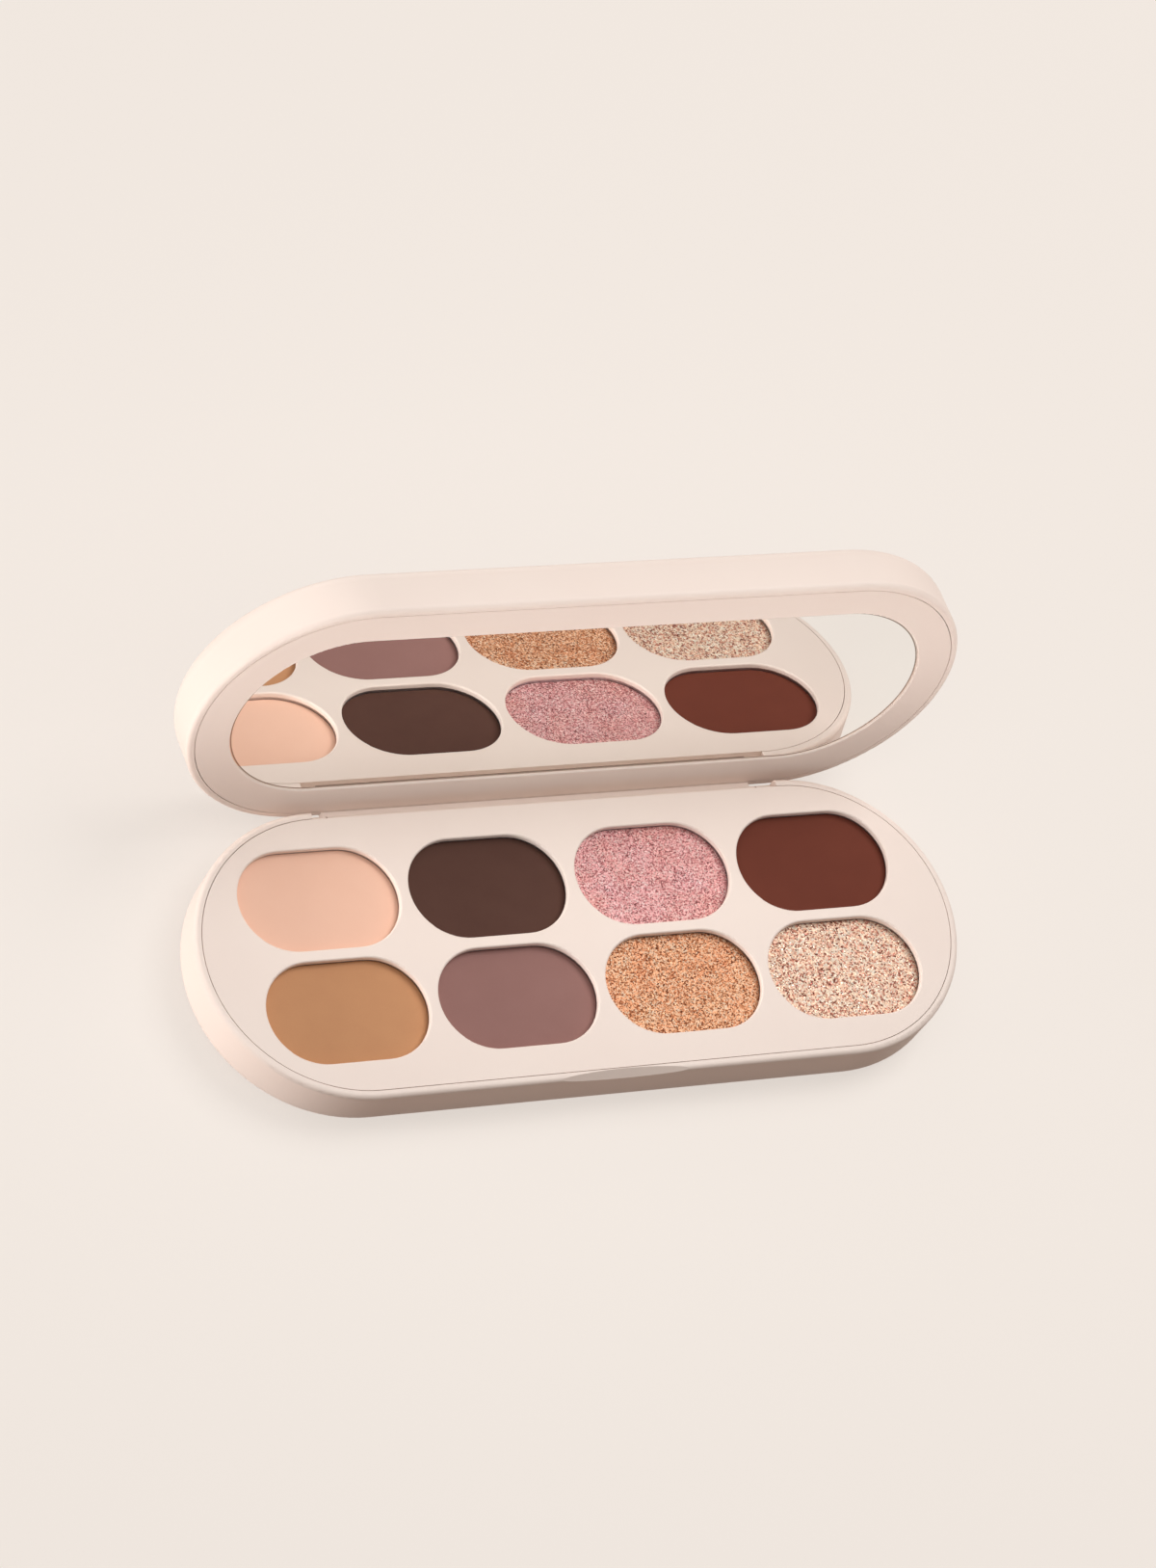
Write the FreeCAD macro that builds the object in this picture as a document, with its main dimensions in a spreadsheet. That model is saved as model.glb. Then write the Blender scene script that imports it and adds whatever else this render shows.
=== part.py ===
import FreeCAD, Part
import math
import os
import Sketcher
from FreeCAD import Placement, Rotation, Vector

doc = FreeCAD.newDocument("eyeshadow_palette")

# Driving dimensions, in millimetres and degrees
SIZES = [
    ("window_length", "28.0", "opening over one pan, along the case"),
    ("window_width", "18.0", "opening over one pan, across the case"),
    ("window_gap", "2.0", "web between neighbouring openings"),
    ("window_edge", "0.3", "rounding of an opening's upper edge"),
    ("end_border", "9.5", "from the last opening to the end of the case"),
    ("side_border", "6.7", "from the openings to the long side of the case"),
    ("base_height", "9.0", "bottom half, floor to rim"),
    ("lid_height", "9.2", "top half, rim to outer face"),
    ("rim_width", "1.3", "rim left round the inset plates"),
    ("wall_width", "2.1", "side wall below the inset plates"),
    ("floor_depth", "1.6", "floor of the base"),
    ("skin_depth", "1.6", "outer face of the lid"),
    ("rim_edge", "0.8", "rounding where the two halves meet"),
    ("base_edge", "2.2", "rounding of the underside"),
    ("lid_edge", "2.6", "rounding of the lid's outer face"),
    ("closing_gap", "0.3", "between the rims when closed"),
    ("parting_gap", "0.12", "fine line between a rim and its inset plate"),
    ("tray_depth", "0.9", "plate that frames the pans"),
    ("pan_lap", "0.6", "how far a pan reaches under the plate"),
    ("pan_height", "3.4", "pressed metal pan"),
    ("pan_wall", "0.4", "sheet of the pan"),
    ("pan_corner", "0.6", "rounding of the pan's foot"),
    ("seat_gap", "0.05", "between pieces that are laid on or in each other"),
    ("powder_drop", "1.5", "powder below the top of the plate"),
    ("powder_edge", "0.2", "rounding of the pressed cake"),
    ("glue_depth", "0.25", "adhesive under a pan"),
    ("seat_inset", "0.5", "pan edge to the seat ring below it"),
    ("seat_wall", "1.2", "wall of a seat ring"),
    ("hinge_drop", "2.6", "hinge axis below the rim of the base"),
    ("barrel_radius", "1.4", "hinge barrel, flush with the back of the case"),
    ("barrel_gap", "0.35", "clearance round the barrel"),
    ("notch_length", "85.0", "break in the rear rim"),
    ("lug_width", "3.0", "hinge lug at each end of the break"),
    ("lug_gap", "0.3", "clearance of the tongue in the break"),
    ("tongue_setback", "0.25", "front of the tongue behind the hinge axis"),
    ("tongue_root", "0.3", "overlap of the tongue with the lid's rim"),
    ("trough_wall", "1.1", "wall in front of the hinge trough"),
    ("open_angle", "101.2", "lid as shown, from closed"),
    ("open_limit", "115.0", "lid against its stop, from closed"),
    ("pin_radius", "0.6", "steel hinge pin"),
    ("pin_length", "10.0", "steel hinge pin"),
    ("pin_grip", "2.4", "length of pin held in a lug"),
    ("pin_gap", "0.05", "running clearance of the pin in the tongue"),
    ("press_gap", "0.01", "pin in its lug"),
    ("mirror_border", "5.9", "inner frame from rim to mirror"),
    ("mirror_drop", "0.4", "mirror behind the face of its frame"),
    ("mirror_lap", "1.0", "mirror hidden behind its frame"),
    ("mirror_depth", "1.3", "mirror glass"),
    ("tape_depth", "0.5", "foam tape behind the mirror"),
    ("frame_depth", "1.2", "inner frame of the lid"),
    ("magnet_radius", "1.7", "closing magnet"),
    ("magnet_height", "2.0", "closing magnet"),
    ("magnet_inset", "3.7", "magnet from the front face"),
    ("boss_wall", "0.6", "wall round a magnet or a peg"),
    ("peg_radius", "0.9", "locating peg of an inset plate"),
    ("peg_length", "2.4", "locating peg of an inset plate"),
    ("peg_inset", "3.7", "peg of the inner frame from the side of the case"),
    ("scoop_width", "29.0", "thumb scoop in the front rim"),
    ("scoop_depth", "0.85", "thumb scoop, square to its slope"),
]

# Sizes that follow from the driving dimensions
LAYOUT = [
    ("column_pitch", "sizes.window_length + sizes.window_gap"),
    ("row_pitch", "sizes.window_width + sizes.window_gap"),
    ("half_length", "2 * sizes.window_length + 1.5 * sizes.window_gap + sizes.end_border"),
    ("half_depth", "sizes.window_width + 0.5 * sizes.window_gap + sizes.side_border"),
    ("half_span", "half_length - half_depth"),
    ("recess_radius", "half_depth - sizes.rim_width"),
    ("plate_radius", "recess_radius - sizes.parting_gap"),
    ("cavity_radius", "half_depth - sizes.wall_width"),
    ("window_radius", "sizes.window_width / 2"),
    ("window_span", "(sizes.window_length - sizes.window_width) / 2"),
    ("pan_radius", "window_radius + sizes.pan_lap"),
    ("cake_radius", "pan_radius - sizes.pan_wall"),
    ("seat_radius", "pan_radius - sizes.seat_inset"),
    ("tray_under", "sizes.base_height - sizes.tray_depth"),
    ("pan_top", "tray_under - sizes.seat_gap"),
    ("pan_foot", "pan_top - sizes.pan_height"),
    ("seat_top", "pan_foot - sizes.glue_depth"),
    ("pan_inside", "sizes.pan_height - sizes.pan_wall"),
    ("cake_depth", "pan_inside + sizes.seat_gap + sizes.tray_depth - sizes.powder_drop"),
    ("hinge_reach", "half_depth - sizes.barrel_radius"),
    ("hinge_level", "sizes.base_height - sizes.hinge_drop"),
    ("trough_radius", "sizes.barrel_radius + sizes.barrel_gap"),
    ("trough_front", "sizes.lug_gap - sizes.tongue_setback"),
    ("trough_length", "sizes.notch_length - 2 * sizes.lug_width"),
    ("tongue_length", "trough_length - 2 * sizes.lug_gap"),
    ("lid_plane", "sizes.hinge_drop + sizes.closing_gap"),
    ("frame_back", "lid_plane + sizes.frame_depth"),
    ("mirror_radius", "recess_radius - sizes.mirror_border"),
    ("glass_radius", "mirror_radius + sizes.mirror_lap"),
    ("glass_front", "lid_plane + sizes.mirror_drop"),
    ("glass_back", "glass_front + sizes.mirror_depth"),
    ("tape_back", "glass_back + sizes.tape_depth"),
    ("skin_inside", "lid_plane + sizes.lid_height - sizes.skin_depth"),
    ("magnet_row", "half_depth - sizes.magnet_inset"),
    ("magnet_boss", "sizes.magnet_radius + sizes.seat_gap + sizes.boss_wall"),
    ("magnet_hole", "sizes.magnet_radius + sizes.seat_gap"),
    ("peg_row", "half_depth - sizes.peg_inset"),
    ("peg_boss", "sizes.peg_radius + sizes.seat_gap + sizes.boss_wall"),
    ("peg_hole", "sizes.peg_radius + sizes.seat_gap"),
    ("scoop_radius", "sizes.scoop_width ^ 2 / (8 * sizes.scoop_depth) + sizes.scoop_depth / 2"),
    ("scoop_height", "(half_depth + sizes.base_height) / sqrt(2) - sizes.scoop_depth + scoop_radius"),
]

# Shades of the pressed powders, rear row first, left to right
SHADES = [
    ["peach", "espresso", "rose_shimmer", "maroon"],
    ["tan", "taupe", "copper_shimmer", "champagne_glitter"],
]

nodes = []


def fill_sheet(name, rows, formula):
    sheet = doc.addObject("Spreadsheet::Sheet", name)
    for number, row in enumerate(rows, start=1):
        cell = "B%d" % number
        sheet.set("A%d" % number, row[0])
        sheet.set(cell, "=" + row[1] if formula else row[1])
        sheet.setAlias(cell, row[0])
        if len(row) > 2:
            sheet.set("C%d" % number, row[2])
        if formula:
            doc.recompute()
    doc.recompute()
    return sheet


sizes = fill_sheet("sizes", SIZES, formula=False)
layout = fill_sheet("layout", LAYOUT, formula=True)


def value(expression):
    """The number that an expression on the two sheets gives."""
    return float(layout.evalExpression(expression))


def new_body(label):
    body = doc.addObject("PartDesign::Body", label)
    body.Label = label
    nodes.append(body)
    return body


def new_sketch(body, name, plane="XY_Plane", level="0", tilt=0.0):
    """A sketch on one of the body's own planes, raised along that plane's normal."""
    sketch = body.newObject("Sketcher::SketchObject", body.Name + "_" + name)
    support = [item for item in body.Origin.OriginFeatures if item.Role == plane][0]
    sketch.AttachmentSupport = [(support, "")]
    sketch.MapMode = "FlatFace"
    sketch.AttachmentOffset = Placement(Vector(0, 0, 0), Rotation(Vector(1, 0, 0), tilt))
    sketch.setExpression("AttachmentOffset.Base.z", level)
    return sketch


def bind(sketch, name, expression, kind, *where):
    """A named dimension of a sketch that follows an expression."""
    number = value(expression)
    start = math.radians(number) if kind == "Angle" else number
    index = sketch.addConstraint(Sketcher.Constraint(kind, *where, start))
    sketch.renameConstraint(index, name)
    sketch.setExpression("Constraints." + name, expression)


def join(sketch, *pairs):
    """Makes the end of one line or arc the start of the next."""
    for end, start in pairs:
        sketch.addConstraint(Sketcher.Constraint("Coincident", end, 2, start, 1))


def circle_points(x, y, radius, start, end):
    circle = Part.Circle(Vector(x, y, 0), Vector(0, 0, 1), radius)
    return Part.ArcOfCircle(circle, math.radians(start), math.radians(end))


def add_stadium(sketch, tag, x, y, span, radius):
    """A closed loop of two straight sides and two round ends."""
    middle_x, middle_y = value(x), value(y)
    half, r = value(span), value(radius)
    left_x, right_x = middle_x - half, middle_x + half
    low, high = middle_y - r, middle_y + r
    left = sketch.addGeometry(circle_points(left_x, middle_y, r, 90, 270))
    lower = sketch.addGeometry(Part.LineSegment(Vector(left_x, low, 0), Vector(right_x, low, 0)))
    right = sketch.addGeometry(circle_points(right_x, middle_y, r, -90, 90))
    upper = sketch.addGeometry(Part.LineSegment(Vector(right_x, high, 0), Vector(left_x, high, 0)))
    loop = [left, lower, right, upper]
    for end, start in zip(loop, loop[1:] + loop[:1]):
        sketch.addConstraint(Sketcher.Constraint("Tangent", end, 2, start, 1))
    sketch.addConstraint(Sketcher.Constraint("Equal", left, right))
    bind(sketch, tag + "_left", "%s - %s" % (x, span), "DistanceX", -1, 1, left, 3)
    bind(sketch, tag + "_right", "%s + %s" % (x, span), "DistanceX", -1, 1, right, 3)
    bind(sketch, tag + "_row_left", y, "DistanceY", -1, 1, left, 3)
    bind(sketch, tag + "_row_right", y, "DistanceY", -1, 1, right, 3)
    bind(sketch, tag + "_radius", radius, "Radius", left)


def add_circle(sketch, tag, x, y, radius):
    circle = Part.Circle(Vector(value(x), value(y), 0), Vector(0, 0, 1), value(radius))
    index = sketch.addGeometry(circle)
    bind(sketch, tag + "_across", x, "DistanceX", -1, 1, index, 3)
    bind(sketch, tag + "_along", y, "DistanceY", -1, 1, index, 3)
    bind(sketch, tag + "_radius", radius, "Radius", index)


def stadium_sketch(body, name, level, span, radius, y="0"):
    sketch = new_sketch(body, name, level=level)
    add_stadium(sketch, "outline", "0", y, span, radius)
    return sketch


def pad(body, sketch, length, both=False):
    """Adds material along the sketch's normal, or evenly to both sides of it."""
    feature = body.newObject("PartDesign::Pad", sketch.Name + "_pad")
    feature.Profile = sketch
    feature.setExpression("Length", length)
    feature.Midplane = both
    doc.recompute()
    return feature


def pocket(body, sketch, length, rising=False, both=False):
    """Cuts against the sketch's normal, along it when rising, or evenly to both sides."""
    before = body.Shape.Volume
    feature = body.newObject("PartDesign::Pocket", sketch.Name + "_pocket")
    feature.Profile = sketch
    feature.setExpression("Length", length)
    feature.Reversed = rising
    feature.Midplane = both
    doc.recompute()
    if not body.Shape.Volume < before:
        raise RuntimeError(feature.Name + " cuts nothing")
    return feature


def round_edges(body, name, radius, wanted):
    """Rounds the edges of the body's last feature that a test picks out."""
    doc.recompute()
    base = body.Tip
    shape = base.Shape
    picked = ["Edge%d" % number for number, edge in enumerate(shape.Edges, start=1) if wanted(edge)]
    feature = body.newObject("PartDesign::Fillet", body.Name + "_" + name)
    feature.Base = (base, picked)
    feature.setExpression("Radius", radius)
    doc.recompute()
    return feature


def lies_at(level):
    """Test for edges that lie wholly at one level of a body's own frame."""
    height = value(level)

    def wanted(edge):
        box = edge.BoundBox
        return abs(box.ZMin - height) < 1e-4 and abs(box.ZMax - height) < 1e-4

    return wanted


def grid():
    """Column and row place of each pan, as expressions, with its shade."""
    for row, shades in enumerate(SHADES):
        for column, shade in enumerate(shades):
            x = "%s * layout.column_pitch" % (column - 1.5)
            y = "%s * layout.row_pitch" % (0.5 - row)
            yield x, y, shade


def place(body, x, y, z):
    body.setExpression("Placement.Base.x", x)
    body.setExpression("Placement.Base.y", y)
    body.setExpression("Placement.Base.z", z)


def hang_on_hinge(body):
    """Turns a piece drawn closed, with the hinge axis as its X axis, to the open position."""
    body.Placement = Placement(Vector(0, 0, 0), Rotation(Vector(-1, 0, 0), value("sizes.open_angle")))
    body.setExpression("Placement.Rotation.Angle", "sizes.open_angle")
    place(body, "0", "layout.hinge_reach", "layout.hinge_level")


def trough_profile(body):
    """Section of the hinge trough: round under the barrel, then the slope that stops the lid."""
    sketch = new_sketch(body, "trough", plane="YZ_Plane")
    y, z = value("layout.hinge_reach"), value("layout.hinge_level")
    r, front = value("layout.trough_radius"), value("layout.trough_front")
    reach, top = value("2 * sizes.barrel_radius"), value("2 * sizes.hinge_drop")
    stop = value("sizes.open_limit")
    rise = math.sqrt(r * r - front * front)
    fall = math.tan(math.radians(stop - 90))
    foot = Vector(y + r * math.cos(math.radians(stop)), z - r * math.sin(math.radians(stop)), 0)
    far = Vector(y + reach, foot.y - (y + reach - foot.x) * fall, 0)
    roof = Vector(y + reach, z + top, 0)
    edge = Vector(y - front, z + top, 0)
    lip = Vector(y - front, z + rise, 0)
    turn = math.degrees(math.atan2(rise, -front))
    arc = sketch.addGeometry(circle_points(y, z, r, turn, 360 - stop))
    slope = sketch.addGeometry(Part.LineSegment(foot, far))
    back = sketch.addGeometry(Part.LineSegment(far, roof))
    over = sketch.addGeometry(Part.LineSegment(roof, edge))
    face = sketch.addGeometry(Part.LineSegment(edge, lip))
    sketch.addConstraint(Sketcher.Constraint("Tangent", arc, 2, slope, 1))
    join(sketch, (slope, back), (back, over), (over, face), (face, arc))
    sketch.addConstraint(Sketcher.Constraint("Vertical", back))
    sketch.addConstraint(Sketcher.Constraint("Horizontal", over))
    sketch.addConstraint(Sketcher.Constraint("Vertical", face))
    bind(sketch, "axis_reach", "layout.hinge_reach", "DistanceX", -1, 1, arc, 3)
    bind(sketch, "axis_level", "layout.hinge_level", "DistanceY", -1, 1, arc, 3)
    bind(sketch, "round", "layout.trough_radius", "Radius", arc)
    bind(sketch, "front", "layout.trough_front", "DistanceX", face, 1, arc, 3)
    bind(sketch, "reach", "2 * sizes.barrel_radius", "DistanceX", arc, 3, back, 1)
    bind(sketch, "top", "2 * sizes.hinge_drop", "DistanceY", arc, 3, over, 1)
    bind(sketch, "stop", "90 - sizes.open_limit", "Angle", slope)
    return sketch


def lug_profile(body):
    """Section of the break in the rear rim, down to the rounded tops of the hinge lugs."""
    sketch = new_sketch(body, "lugs", plane="YZ_Plane")
    y, z = value("layout.hinge_reach"), value("layout.hinge_level")
    r, front = value("sizes.barrel_radius"), value("layout.trough_front")
    reach, top = value("2 * sizes.barrel_radius"), value("2 * sizes.hinge_drop")
    rise = math.sqrt(r * r - front * front)
    turn = math.degrees(math.atan2(rise, -front))
    start = Vector(y + r, z, 0)
    lip = Vector(y - front, z + rise, 0)
    edge = Vector(y - front, z + top, 0)
    roof = Vector(y + reach, z + top, 0)
    side = Vector(y + reach, z, 0)
    arc = sketch.addGeometry(circle_points(y, z, r, 0, turn))
    face = sketch.addGeometry(Part.LineSegment(lip, edge))
    over = sketch.addGeometry(Part.LineSegment(edge, roof))
    back = sketch.addGeometry(Part.LineSegment(roof, side))
    under = sketch.addGeometry(Part.LineSegment(side, start))
    join(sketch, (arc, face), (face, over), (over, back), (back, under), (under, arc))
    sketch.addConstraint(Sketcher.Constraint("Vertical", face))
    sketch.addConstraint(Sketcher.Constraint("Horizontal", over))
    sketch.addConstraint(Sketcher.Constraint("Vertical", back))
    sketch.addConstraint(Sketcher.Constraint("Horizontal", under))
    sketch.addConstraint(Sketcher.Constraint("Horizontal", arc, 3, arc, 1))
    bind(sketch, "axis_reach", "layout.hinge_reach", "DistanceX", -1, 1, arc, 3)
    bind(sketch, "axis_level", "layout.hinge_level", "DistanceY", -1, 1, arc, 3)
    bind(sketch, "round", "sizes.barrel_radius", "Radius", arc)
    bind(sketch, "front", "layout.trough_front", "DistanceX", face, 1, arc, 3)
    bind(sketch, "reach", "2 * sizes.barrel_radius", "DistanceX", arc, 3, back, 1)
    bind(sketch, "top", "2 * sizes.hinge_drop", "DistanceY", arc, 3, over, 1)
    return sketch


def tongue_profile(body):
    """Section of the lid's hinge tongue: a barrel that runs up into the rear rim of the lid."""
    sketch = new_sketch(body, "tongue", plane="YZ_Plane")
    r, setback = value("sizes.barrel_radius"), value("sizes.tongue_setback")
    plane = value("layout.lid_plane - sizes.seat_gap")
    root_level = value("layout.lid_plane + sizes.rim_edge + sizes.tongue_root")
    root_side = value("sizes.barrel_radius - sizes.rim_width + sizes.tongue_root")
    rise = math.sqrt(r * r - setback * setback)
    turn = math.degrees(math.atan2(rise, setback))
    start = Vector(r, 0, 0)
    root_back = Vector(r, root_level, 0)
    root_front = Vector(root_side, root_level, 0)
    notch = Vector(root_side, plane, 0)
    shoulder = Vector(setback, plane, 0)
    lip = Vector(setback, rise, 0)
    arc = sketch.addGeometry(circle_points(0, 0, r, turn, 360))
    back = sketch.addGeometry(Part.LineSegment(start, root_back))
    over = sketch.addGeometry(Part.LineSegment(root_back, root_front))
    step = sketch.addGeometry(Part.LineSegment(root_front, notch))
    shelf = sketch.addGeometry(Part.LineSegment(notch, shoulder))
    face = sketch.addGeometry(Part.LineSegment(shoulder, lip))
    sketch.addConstraint(Sketcher.Constraint("Coincident", arc, 3, -1, 1))
    sketch.addConstraint(Sketcher.Constraint("Tangent", arc, 2, back, 1))
    join(sketch, (back, over), (over, step), (step, shelf), (shelf, face), (face, arc))
    sketch.addConstraint(Sketcher.Constraint("Vertical", back))
    sketch.addConstraint(Sketcher.Constraint("Horizontal", over))
    sketch.addConstraint(Sketcher.Constraint("Vertical", step))
    sketch.addConstraint(Sketcher.Constraint("Horizontal", shelf))
    sketch.addConstraint(Sketcher.Constraint("Vertical", face))
    bind(sketch, "round", "sizes.barrel_radius", "Radius", arc)
    bind(sketch, "root_level", "layout.lid_plane + sizes.rim_edge + sizes.tongue_root",
         "DistanceY", -1, 1, over, 1)
    bind(sketch, "root_side", "sizes.barrel_radius - sizes.rim_width + sizes.tongue_root",
         "DistanceX", -1, 1, step, 1)
    bind(sketch, "shelf", "layout.lid_plane - sizes.seat_gap", "DistanceY", -1, 1, shelf, 1)
    bind(sketch, "setback", "sizes.tongue_setback", "DistanceX", -1, 1, face, 1)
    return sketch


def add_rectangle(sketch, half_width, near, far):
    """A rectangle centred on the sketch's vertical axis, between two distances from the origin."""
    half, low, high = value(half_width), value(near), value(far)
    corners = [Vector(-half, low, 0), Vector(half, low, 0), Vector(half, high, 0), Vector(-half, high, 0)]
    sides = []
    for start, end in zip(corners, corners[1:] + corners[:1]):
        sides.append(sketch.addGeometry(Part.LineSegment(start, end)))
    lower, right, upper, left = sides
    join(sketch, (lower, right), (right, upper), (upper, left), (left, lower))
    sketch.addConstraint(Sketcher.Constraint("Horizontal", lower))
    sketch.addConstraint(Sketcher.Constraint("Horizontal", upper))
    sketch.addConstraint(Sketcher.Constraint("Vertical", left))
    sketch.addConstraint(Sketcher.Constraint("Vertical", right))
    bind(sketch, "half_left", half_width, "DistanceX", left, 1, -1, 1)
    bind(sketch, "half_right", half_width, "DistanceX", -1, 1, right, 1)
    bind(sketch, "near", near, "DistanceY", -1, 1, lower, 1)
    bind(sketch, "far", far, "DistanceY", -1, 1, upper, 1)


def make_case_half(body, level, height, low_edge, high_edge, y="0"):
    """A stadium block with both of its long edges rounded, the start of each half of the case."""
    outline = stadium_sketch(body, "outline", level, "layout.half_span", "layout.half_depth", y)
    pad(body, outline, height)
    round_edges(body, "low_edge", low_edge, lies_at(level))
    round_edges(body, "high_edge", high_edge, lies_at("%s + %s" % (level, height)))


def make_base_shell():
    body = new_body("base_shell")
    make_case_half(body, "0", "sizes.base_height", "sizes.base_edge", "sizes.rim_edge")

    recess = stadium_sketch(body, "recess", "sizes.base_height", "layout.half_span", "layout.recess_radius")
    pocket(body, recess, "sizes.tray_depth")
    cavity = stadium_sketch(body, "cavity", "sizes.base_height", "layout.half_span", "layout.cavity_radius")
    pocket(body, cavity, "sizes.base_height - sizes.floor_depth")

    seats = new_sketch(body, "pan_seats", level="sizes.floor_depth")
    for x, y, shade in grid():
        add_stadium(seats, shade + "_outside", x, y, "layout.window_span", "layout.seat_radius")
        add_stadium(seats, shade + "_inside", x, y, "layout.window_span",
                    "(layout.seat_radius - sizes.seat_wall)")
    pad(body, seats, "layout.seat_top - sizes.floor_depth")

    bosses = new_sketch(body, "bosses", level="sizes.floor_depth")
    for step in (-2, -1, 0, 1, 2):
        add_circle(bosses, "peg_%d" % (step + 3), "%d * layout.column_pitch" % step, "0", "layout.peg_boss")
    for side in (-1, 1):
        add_circle(bosses, "magnet_%d" % (side + 2), "%d * layout.column_pitch" % side,
                   "-layout.magnet_row", "layout.magnet_boss")
    pad(body, bosses, "layout.pan_top - sizes.floor_depth")

    peg_holes = new_sketch(body, "peg_holes", level="layout.pan_top")
    for step in (-2, -1, 0, 1, 2):
        add_circle(peg_holes, "peg_%d" % (step + 3), "%d * layout.column_pitch" % step, "0",
                   "layout.peg_hole")
    pocket(body, peg_holes, "sizes.peg_length + sizes.boss_wall")
    magnet_holes = new_sketch(body, "magnet_holes", level="layout.pan_top")
    for side in (-1, 1):
        add_circle(magnet_holes, "magnet_%d" % (side + 2), "%d * layout.column_pitch" % side,
                   "-layout.magnet_row", "layout.magnet_hole")
    pocket(body, magnet_holes, "sizes.magnet_height + sizes.seat_gap")

    block = new_sketch(body, "hinge_block", level="sizes.floor_depth")
    add_rectangle(block, "sizes.notch_length / 2 + sizes.trough_wall",
                  "layout.hinge_reach - layout.trough_radius - sizes.trough_wall",
                  "layout.half_depth - sizes.wall_width / 2")
    pad(body, block, "layout.tray_under - sizes.floor_depth")
    pocket(body, lug_profile(body), "sizes.notch_length", both=True)
    pocket(body, trough_profile(body), "layout.trough_length", both=True)
    bores = new_sketch(body, "lug_bores", plane="YZ_Plane")
    add_circle(bores, "pin", "layout.hinge_reach", "layout.hinge_level", "sizes.pin_radius + sizes.press_gap")
    pocket(body, bores, "layout.trough_length + 2 * sizes.pin_grip + 2 * sizes.press_gap", both=True)

    scoop = new_sketch(body, "thumb_scoop", plane="XZ_Plane", tilt=45.0)
    add_circle(scoop, "scoop", "0", "layout.scoop_height", "layout.scoop_radius")
    pocket(body, scoop, "4 * layout.half_depth", both=True)


def make_pan_tray():
    body = new_body("pan_tray")
    plate = stadium_sketch(body, "plate", "layout.tray_under", "layout.half_span", "layout.plate_radius")
    pad(body, plate, "sizes.tray_depth")
    windows = new_sketch(body, "windows", level="sizes.base_height")
    for x, y, shade in grid():
        add_stadium(windows, shade, x, y, "layout.window_span", "layout.window_radius")
    pocket(body, windows, "2 * sizes.tray_depth")
    top = lies_at("sizes.base_height")
    inner = value("layout.half_depth - sizes.side_border / 2")
    ends = value("layout.half_length - sizes.end_border / 2")

    def window_edge(edge):
        box = edge.BoundBox
        inside = max(abs(box.YMin), abs(box.YMax)) < inner and max(abs(box.XMin), abs(box.XMax)) < ends
        return top(edge) and inside

    round_edges(body, "window_edge", "sizes.window_edge", window_edge)
    rear = new_sketch(body, "hinge_break", level="sizes.base_height")
    add_rectangle(rear, "sizes.notch_length / 2", "layout.hinge_reach - layout.trough_front",
                  "layout.half_depth")
    pocket(body, rear, "2 * sizes.tray_depth")
    pegs = new_sketch(body, "pegs", level="layout.tray_under - sizes.peg_length")
    for step in (-2, -1, 0, 1, 2):
        add_circle(pegs, "peg_%d" % (step + 3), "%d * layout.column_pitch" % step, "0", "sizes.peg_radius")
    pad(body, pegs, "sizes.peg_length")


def make_pan(x, y, shade):
    body = new_body("pan_" + shade)
    outside = stadium_sketch(body, "outside", "0", "layout.window_span", "layout.pan_radius")
    pad(body, outside, "sizes.pan_height")
    round_edges(body, "foot", "sizes.pan_corner", lies_at("0"))
    inside = stadium_sketch(body, "inside", "sizes.pan_height", "layout.window_span", "layout.cake_radius")
    pocket(body, inside, "layout.pan_inside")
    place(body, x, y, "layout.pan_foot")


def make_powder(x, y, shade):
    body = new_body("powder_" + shade)
    cake = stadium_sketch(body, "cake", "0", "layout.window_span", "layout.cake_radius")
    pad(body, cake, "layout.cake_depth")
    round_edges(body, "cake_edge", "sizes.powder_edge", lies_at("layout.cake_depth"))
    place(body, x, y, "layout.pan_foot + sizes.pan_wall")


def make_pan_adhesive():
    body = new_body("pan_adhesive")
    pads = new_sketch(body, "pads", level="layout.seat_top")
    for x, y, shade in grid():
        add_stadium(pads, shade, x, y, "layout.window_span", "layout.seat_radius")
    pad(body, pads, "sizes.glue_depth")


def make_magnets(label, y, level):
    body = new_body(label)
    discs = new_sketch(body, "discs", level=level)
    for side in (-1, 1):
        add_circle(discs, "disc_%d" % (side + 2), "%d * layout.column_pitch" % side, y, "sizes.magnet_radius")
    pad(body, discs, "sizes.magnet_height")
    return body


def make_hinge_pin(label, side):
    body = new_body(label)
    section = new_sketch(body, "section", plane="YZ_Plane")
    add_circle(section, "pin", "0", "0", "sizes.pin_radius")
    pad(body, section, "sizes.pin_length", both=True)
    middle = "%d * (layout.trough_length / 2 + sizes.pin_grip - sizes.pin_length / 2)" % side
    place(body, middle, "layout.hinge_reach", "layout.hinge_level")


def frame_peg_places():
    for row in (-1, 1):
        for step in (-1.5, -0.5, 0.5, 1.5):
            tag = "peg_%d_%d" % (row + 2, step + 2)
            yield tag, "%s * layout.column_pitch" % step, "%d * layout.peg_row - layout.hinge_reach" % row


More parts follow.
